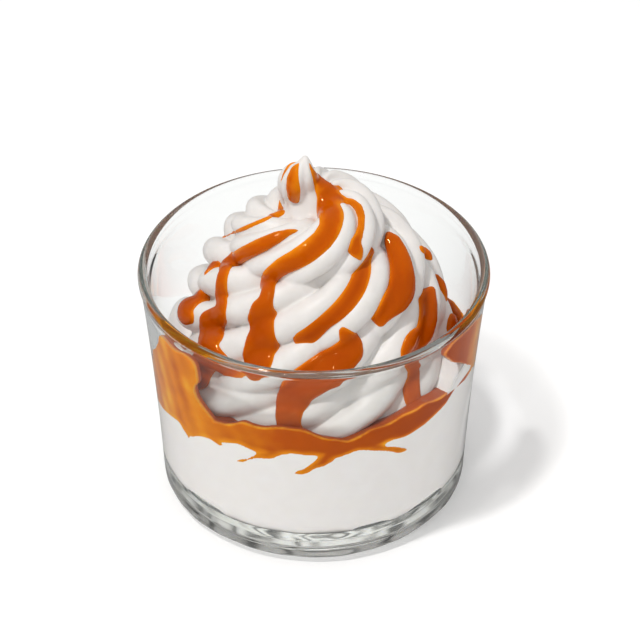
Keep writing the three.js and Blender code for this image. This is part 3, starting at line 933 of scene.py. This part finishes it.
def stream_spots(name, skin, turned_by):
    """Middle points on the swirl's skin and half widths along a stream, in millimetres."""
    stream = STREAMS_PX[name]
    over = turned_by != 0 or name in OVER_RIDGES
    spots = []
    last = None
    for (x0, y0, w0), (x1, y1, w1) in zip(stream, stream[1:]):
        count = max(2, int(math.hypot(x1 - x0, y1 - y0) / STREAM_STEP_PX))
        for share in np.linspace(0, 1, count):
            share = float(share)
            eye, along = sight((x0 + (x1 - x0) * share, y0 + (y1 - y0) * share), turned_by)
            hit = skin.ray_cast(eye, along)[0]
            if hit is None:
                continue
            half = (w0 + (w1 - w0) * share + (0 if over else GROOVE_SPARE_PX)) * VIEW_DISTANCE / FOCAL_PX
            if last is not None and (hit - last[0]).length < LONGEST_JUMP:
                gap_steps = int((hit - last[0]).length / JUMP_STEP)
                for k in range(1, gap_steps):
                    part = k / gap_steps
                    spots.append((last[0].lerp(hit, part), last[1] + (half - last[1]) * part, over))
            spots.append((hit, half, over))
            last = (hit, half)
    return spots


def hidden_runs(spots, skin):
    """The parts of a stream that the photo hides, without scraps."""
    kept = []
    run = []
    for spot in [*spots, None]:
        if spot is not None and not seen_in_photo(spot[0], skin):
            run.append(spot)
        else:
            kept += run if len(run) >= SHORTEST_RUN else []
            run = []
    return kept


def stream_thickness(skin):
    """How high the sauce stands at each cell, in the grooves and over the ridges."""
    nothing = -6.0
    in_grooves = np.full(LATTICE_SHAPE, nothing, np.float32)
    over_ridges = in_grooves.copy()
    axes = lattice_axes()
    spots = []
    for name in STREAMS_PX:
        spots += stream_spots(name, skin, 0.0)
    for turned_by, names in HIDDEN_STREAMS.items():
        for name in names:
            spots += hidden_runs(stream_spots(name, skin, turned_by), skin)
    for place, half, over in spots:
        reach = half + STREAM_SPARE
        low = [np.searchsorted(axes[i], place[i] - reach) for i in range(3)]
        high = [np.searchsorted(axes[i], place[i] + reach) for i in range(3)]
        if min(h - l for h, l in zip(high, low)) < 1:
            continue
        x, y, z = (axes[i][low[i] : high[i]] - place[i] for i in range(3))
        away = np.sqrt((x**2)[:, None, None] + (y**2)[None, :, None] + (z**2)[None, None, :])
        crown = LEAST_CROWN + CROWN_GROWTH * half if over else 0.0
        inner = crown * np.sqrt(np.clip(1 - (away / half) ** 4, 0, 1))
        dome = inner - STREAM_FLANK * np.clip(away - half, 0, None)
        field = over_ridges if over else in_grooves
        block = field[low[0] : high[0], low[1] : high[1], low[2] : high[2]]
        np.maximum(block, dome, out=block)
    return in_grooves, over_ridges


# ---------------------------------------------------------------- the food's pieces

MOST_TRIANGLES = 190000
CORE_HEIGHTS = (33.5, 70.0, 77.0, 80.0, 84.0)
CORE_RADII = (15.0, 8.5, 7.0, 5.0, 2.5)
CORE_BLEND = 1.6
SWIRL_FOOT = 33.5
DEEPEST_CREVICE = 1.9
SAUCE_BRIDGING = 0.9
SAUCE_LEVEL = 0.945
SAUCE_SUNK = 0.6
# Widths of the blurs: round a crevice, on the rope, under the sauce in the grooves, on the sauce
# and on the pool.
CREVICE_BLUR = 2.0
ROPE_BLUR = 0.23
GROOVE_BLUR = 0.5
SAUCE_BLUR = 0.28
POOL_BLUR = 0.25
FULL_SAUCE = 1.2  # thickness at which a stream's colour is deepest
# Height of the painted dark line where the cream turns under at the floor's corner.
BOTTOM_LINE_HEIGHT = 7.6
BASE_TOP = 34.0
BASE_COLUMNS = 360


def swirl_field(groove_depth, size):
    """Distance from the rope, with the space inside its coil filled, cut off below the pool."""
    field = distance_field(*rope_mesh(groove_depth, size))
    x, y, z = lattice_axes()
    radius = np.hypot(x[:, None], y[None, :])[:, :, None]
    taper = np.interp(z, CORE_HEIGHTS, CORE_RADII)
    core = np.maximum((radius - taper[None, None, :]) * 0.95, z[None, None, :] - CORE_HEIGHTS[-1])
    share = np.clip(0.5 + 0.5 * (core - field) / CORE_BLEND, 0, 1)
    field = core * (1 - share) + field * share - CORE_BLEND * share * (1 - share)
    return np.maximum(field, SWIRL_FOOT - z[None, None, :])


def slimmed(made):
    """Thins a mesh evenly to the most triangles a piece may have."""
    triangles = sum(len(face.vertices) - 2 for face in made.data.polygons)
    if triangles > MOST_TRIANGLES:
        slim = made.modifiers.new("slim", "DECIMATE")
        slim.ratio = MOST_TRIANGLES / triangles
        seen = made.evaluated_get(bpy.context.evaluated_depsgraph_get())
        thinner = bpy.data.meshes.new_from_object(seen)
        thinner.validate()
        made.modifiers.remove(slim)
        made.data = thinner
    return made


def places_of(made):
    """A piece's points in millimetres."""
    points = np.empty(len(made.data.vertices) * 3, np.float32)
    made.data.vertices.foreach_get("co", points)
    return points.reshape(-1, 3) / MM


def store(made, name, values):
    """Keeps one value for each point of a piece, which its material reads."""
    field = made.data.attributes.new(name, "FLOAT", "POINT")
    field.data.foreach_set("value", np.asarray(values, np.float32))


def give_pool_looks(pool, outline, meniscus):
    """Colour depth of the caramel in the glass, and where it lies against the glass."""
    places = places_of(pool)
    radius = np.hypot(places[:, 0], places[:, 1])
    azimuth = np.degrees(np.arctan2(places[:, 0], -places[:, 1]))
    from_wall = wall_radius(places[:, 2]) - WALL - radius
    at_meniscus = smoothstep(-3.0, -1.5, places[:, 2] - np.interp(azimuth, WALL_AZIMUTHS, meniscus))
    inside = np.clip(-sampled_at(outline, places) / (2.0 - 1.5 * at_meniscus), 0, 1)
    streaks = 0.09 * np.sin(0.32 * azimuth + 0.9 * np.sin(0.45 * places[:, 2]))
    streaks = streaks + 0.07 * np.sin(0.75 * azimuth + 0.35 * places[:, 2] + 1)
    streaks = streaks * np.clip(smoothstep(-42, -58, azimuth) + 0.25, 0, 1)
    at_wall = 0.05 + inside * (np.interp(azimuth, *POOL_SHADES) + streaks)
    off_wall = 0.8 * smoothstep(0.15, 0.8, from_wall)
    store(pool, "depth", np.clip(np.maximum(at_wall, off_wall), 0, 1))
    give_wall_contact(pool, from_wall)


def give_wall_contact(made, from_wall):
    """Stores where a piece lies against the glass, for its gloss."""
    store(made, "against_glass", 1 - smoothstep(0.0, 0.5, from_wall))


def give_bottom_shade(made, radius, height, azimuth):
    """Painted shade on the cream: a dark line, broken and of uneven width, where it turns under at the
    floor's corner, and grey streaks on its underside in place of the thick bottom's refraction streaks.
    """
    wave = 0.5 + 0.5 * np.sin(7 * azimuth + 0.6) * np.sin(3 * azimuth + 1.1)
    wave = wave + 0.25 * np.sin(19 * azimuth)
    width = 0.45 + 0.9 * np.clip(wave, 0, 1)
    # Painted shade: a dark line along the cream's bottom corner.
    line = np.exp(-(((height - BOTTOM_LINE_HEIGHT) / width) ** 2)) * (radius > 28)
    # Painted grey streaks under the cream, seen through the glass's thick bottom.
    bend = 3.0 * np.sin(3 * azimuth) + 2.4 * np.sin(5 * azimuth + 1) + 1.6 * np.sin(11 * azimuth + 2)
    streaks = 0.5 + 0.5 * np.sin(radius * 1.2 + bend + 1.5 * np.sin(radius * 0.7 + 4 * azimuth))
    under = (height < FLOOR + 0.2) * 0.8 * streaks**2
    store(made, "shade", np.clip(np.maximum(0.9 * line, under), 0, 0.9))


def finish_food(made, node):
    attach(made, "root")
    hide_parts(node)


def ice_cream_base(lower):
    """White ice cream at the bottom of the glass, up under the caramel."""
    floor_edge = FLOOR + FLOOR_CURVE
    corner_radius = float(wall_radius(floor_edge)) - WALL - FLOOR_CURVE + IN_GLASS / 2

    def meridian(azimuth):
        away = (azimuth + 180) % 360 - 180
        top = float(np.interp(away, WALL_AZIMUTHS, lower)) + 1.6
        for middle, spread, rise in WHITE_MOUNDS:
            top += rise * math.exp(-(((away - middle) / spread) ** 2))
        heights = np.linspace(floor_edge, top, 14)[1:]
        side = [(float(wall_radius(z)) - WALL + IN_GLASS / 2, float(z)) for z in heights]
        inside = [(side[-1][0] - 0.6, top + 0.1), (33.0, top - 0.4), (24.0, BASE_TOP), (12.0, BASE_TOP)]
        corner = arc(corner_radius, floor_edge, FLOOR_CURVE, -90, 0, HEEL_STEPS)
        under = [(r, FLOOR - IN_GLASS / 2) for r in np.linspace(0.8, corner_radius - 0.8, 36)]
        return [(0.0, FLOOR - IN_GLASS / 2), *under, *corner, *side, *inside, (0.0, BASE_TOP)]

    made = turned("ice_cream_in_glass", meridian, BASE_COLUMNS, CREAM_PAINTED_BRIGHTER)
    places = places_of(made)
    radius = np.hypot(places[:, 0], places[:, 1])
    give_wall_contact(made, wall_radius(places[:, 2]) - WALL - radius)
    azimuth = np.arctan2(places[:, 0], -places[:, 1])
    give_bottom_shade(made, radius, places[:, 2], azimuth)
    finish_food(made, "ice_cream_base")


def food():
    rough = swirl_field(GROOVE_DEPTH, 1.0)
    rough = np.minimum(rough, blurred(rough, CREVICE_BLUR) + DEEPEST_CREVICE)
    body = blurred(rough, ROPE_BLUR)
    points, faces = skin_of(body)
    swirl = slimmed(mesh_object("soft_serve_swirl", points, faces, SOFT_SERVE))
    finish_food(swirl, "swirl")

    skin = BVHTree.FromPolygons(points.tolist(), faces)
    in_grooves, over_ridges = stream_thickness(skin)
    smooth_rope = blurred(swirl_field(0.0, SAUCE_LEVEL), GROOVE_BLUR)
    sauce = np.minimum(smooth_rope - in_grooves, blurred(body, SAUCE_BRIDGING) - over_ridges)
    sauce = np.clip(np.maximum(sauce, -body - SAUCE_SUNK), -FIELD_LIMIT, FIELD_LIMIT)
    sauce = blurred(sauce, SAUCE_BLUR)
    points, faces = skin_of(sauce)
    streams = slimmed(mesh_object("caramel_streams", points, faces, CARAMEL))
    places = places_of(streams)
    thickness = sampled_at(body, places)
    thinner = 1 - 0.24 * smoothstep(62, 84, places[:, 2])
    store(streams, "depth", (0.26 + 0.62 * np.clip(thickness / FULL_SAUCE, 0, 1)) * thinner)
    finish_food(streams, "swirl")

    meniscus, lower = wall_edges()
    layer, outline = caramel_layer_field(meniscus, lower)
    layer = blurred(np.clip(layer, -FIELD_LIMIT, FIELD_LIMIT), POOL_BLUR)
    points, faces = skin_of(layer)
    pool = slimmed(mesh_object("caramel_in_glass", points, faces, CARAMEL))
    give_pool_looks(pool, outline, meniscus)
    finish_food(pool, "caramel_layer")

    ice_cream_base(lower)


food()


# ---------------------------------------------------------------- floor, light and camera


ONE_OR_TWO = (1.5, 0.6)  # middle and reach that take in one and two reflections
# Painted light on the table in place of light that the glass focuses: under its bottom, and a bow in its
# shadow.
UNDER_GLASS_LIGHT = 1.9
UNDER_GLASS_REACH = 35.0
BOW_MIDDLE = (20.3, 18.3, 0.0)
BOW_RADIUS = 29.0
BOW_WIDTH = 5.0
BOW_DIRECTION = 0.05  # radians round from +X
BOW_SPREAD = 1.15
BOW_LIGHT = 0.28
TABLE_GLOW = 0.03
TABLE_HALF = 1500
TABLE_DROP = 0.2


def mirrored(sheet):
    """1 for light mirrored once or twice on its way from the surroundings, as in a dimmer room."""
    reflections = sheet.node("ShaderNodeLightPath").outputs["Glossy Depth"]
    return sheet.math("COMPARE", reflections, *ONE_OR_TWO)


def near(sheet, value, middle, reach):
    """1 at the middle, falling smoothly to 0 at a reach on either side."""
    away = sheet.math("ABSOLUTE", sheet.math("SUBTRACT", value, middle))
    span = {"Value": away, "From Min": reach, "From Max": 0.0}
    return sheet.node("ShaderNodeMapRange", span, interpolation_type="SMOOTHSTEP").outputs["Result"]


def focused_light(sheet):
    """Painted light on the table, glowing where the glass would gather light: under its thick bottom and
    in a bow in its shadow.
    """
    place = sheet.node("ShaderNodeTexCoord").outputs["Object"]
    under = sheet.node("ShaderNodeVectorMath", {0: place}, operation="LENGTH").outputs["Value"]
    bottom = sheet.math("MULTIPLY", near(sheet, under, 0.0, UNDER_GLASS_REACH * MM), UNDER_GLASS_LIGHT)
    from_bow = sheet.vector("SUBTRACT", place, tuple(v * MM for v in BOW_MIDDLE))
    bow_radius = sheet.node("ShaderNodeVectorMath", {0: from_bow}, operation="LENGTH").outputs["Value"]
    across = near(sheet, bow_radius, BOW_RADIUS * MM, BOW_WIDTH * MM)
    parts = sheet.node("ShaderNodeSeparateXYZ", {"Vector": from_bow}).outputs
    direction = sheet.math("ARCTAN2", parts["Y"], parts["X"])
    along = near(sheet, direction, BOW_DIRECTION, BOW_SPREAD)
    bow = sheet.math("MULTIPLY", sheet.math("MULTIPLY", across, along), BOW_LIGHT)
    return sheet.math("ADD", sheet.math("ADD", bottom, bow), TABLE_GLOW)


def floor():
    material, sheet, surface = new_material("white_table")
    surface.inputs["Roughness"].default_value = 0.6
    # Painted reflection: the table's colour is darker where it is seen mirrored once or twice, as in a
    # dimmer room.
    colour_dimmed_in_reflections = sheet.ramp(mirrored(sheet), [(0, (0.99, 0.99, 0.99)), (1, (0.38, 0.38, 0.38))])
    sheet.put(surface.inputs["Base Color"], colour_dimmed_in_reflections)
    surface.inputs["Emission Color"].default_value = (1, 1, 1, 1)
    sheet.put(surface.inputs["Emission Strength"], focused_light(sheet))
    quarters = ((-1, -1), (1, -1), (1, 1), (-1, 1))
    corners = [(x * TABLE_HALF, y * TABLE_HALF, -TABLE_DROP) for x, y in quarters]
    mesh_object("table", corners, [(0, 1, 2, 3)], material)


def area_light(name, place, aim, size, power, colour=(1, 1, 1)):
    data = bpy.data.lights.new(name, "AREA")
    data.shape = "DISK"
    data.size = size
    data.energy = power
    data.color = colour
    lamp = bpy.data.objects.new(name, data)
    lamp.location = place
    lamp.rotation_mode = "QUATERNION"
    lamp.rotation_quaternion = (Vector(aim) - Vector(place)).to_track_quat("-Z", "Y")
    bpy.context.scene.collection.objects.link(lamp)


def studio():
    scene = bpy.context.scene
    scene.world = bpy.data.worlds.new("studio")
    scene.world.use_nodes = True
    sheet = Sheet(scene.world.node_tree)
    background = scene.world.node_tree.nodes["Background"]
    place = sheet.node("ShaderNodeTexCoord").outputs["Generated"]
    height = sheet.node("ShaderNodeSeparateXYZ", {"Vector": place}).outputs["Z"]
    share = sheet.math("MULTIPLY_ADD", height, 0.5, 0.5)
    sky = sheet.ramp(
        share,
        [
            (0.0, (0.9, 0.9, 0.9)),
            (0.47, (0.85, 0.85, 0.85)),
            (0.495, (0.12, 0.12, 0.115)),
            (0.53, (0.12, 0.12, 0.115)),
            (0.58, (0.9, 0.9, 0.9)),
            (1.0, (1.0, 1.0, 1.0)),
        ],
    )
    sheet.put(background.inputs["Color"], sky)
    sheet.put(background.inputs["Strength"], sheet.math("MULTIPLY_ADD", mirrored(sheet), -0.27, 0.70))
    area_light("window", (-0.44, -0.39, 1.32), (0, 0, 0.03), 0.10, 9.5, (1.0, 0.99, 0.975))
    area_light("glint", (-0.35, -0.95, 0.95), (0, 0, 0.05), 0.06, 0.7)


def camera():
    data = bpy.data.cameras.new("photo_view")
    data.sensor_width = 36.0
    data.lens = FOCAL_PX / PHOTO_SIDE * data.sensor_width
    data.shift_x = (PHOTO_SIDE / 2 - AIM_PX[0]) / PHOTO_SIDE
    data.shift_y = (AIM_PX[1] - PHOTO_SIDE / 2) / PHOTO_SIDE
    data.clip_start, data.clip_end = 0.01, 20.0
    eye, _ = sight(AIM_PX)
    made = bpy.data.objects.new("photo_view", data)
    made.location = eye * MM
    made.rotation_mode = "QUATERNION"
    made.rotation_quaternion = (Vector((0, 0, AIM_HEIGHT)) - eye).to_track_quat("-Z", "Y")
    bpy.context.scene.collection.objects.link(made)
    bpy.context.scene.camera = made


floor()
studio()
camera()
bpy.context.scene.view_settings.view_transform = "Standard"
bpy.context.scene.cycles.max_bounces = 40
bpy.context.scene.cycles.transmission_bounces = 40
bpy.context.scene.cycles.glossy_bounces = 14
